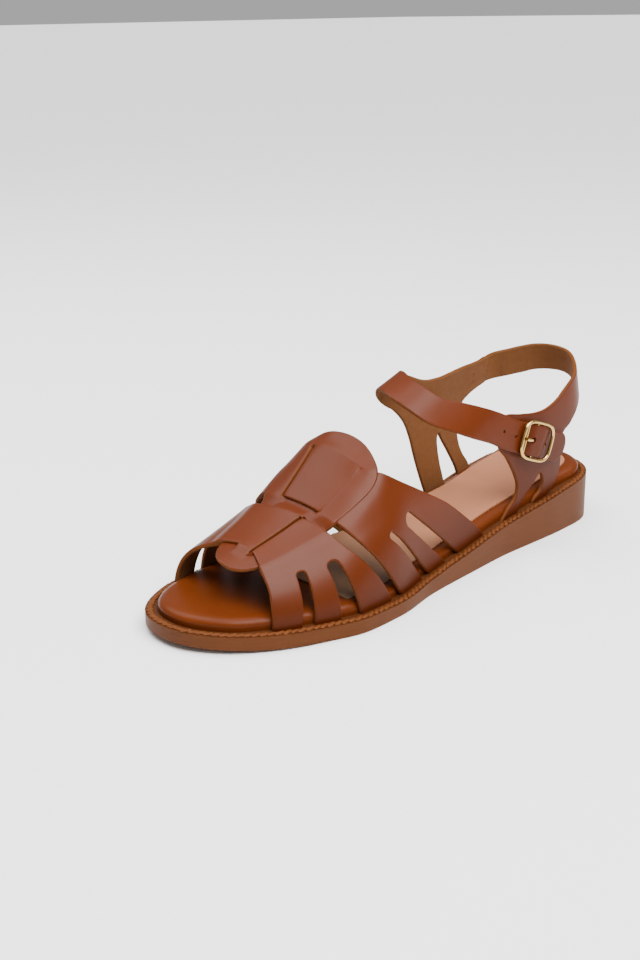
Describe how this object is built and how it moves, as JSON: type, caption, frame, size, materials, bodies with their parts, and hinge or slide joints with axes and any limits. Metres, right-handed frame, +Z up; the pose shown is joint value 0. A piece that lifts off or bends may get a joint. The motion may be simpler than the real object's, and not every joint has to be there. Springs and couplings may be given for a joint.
{
  "type": "fisherman sandal",
  "caption": "Left fisherman sandal: low wedge sole, padded footbed, woven open-toe vamp with cut slots, and an ankle strap with a buckle.",
  "frame": {"origin": "on the floor under the middle of the heel seat, 30 mm in front of the heel's back edge", "axes": "+Y to the toe, +X to the inner (medial) side of the left foot, +Z up"},
  "size_m": [0.0888, 0.25, 0.0877],
  "materials": {
    "sole": "smooth brown moulded wedge, satin",
    "rim": "orange tan runner with rope stitching",
    "footbed": "brown leather over padding, satin",
    "sock": "matt pink beige lining leather with a pinked edge",
    "upper": "burnished tan leather with light cut edges, glossy",
    "buckle": "polished light gold"
  },
  "bodies": {
    "root": {"outsole": "sole", "midsole": "rim", "footbed": "footbed", "sock": "sock", "vamp": "upper", "instep_strap": "upper", "heel_strap": "upper", "buckle": "buckle", "buckle_prong": "buckle"}
  },
  "joints": []
}
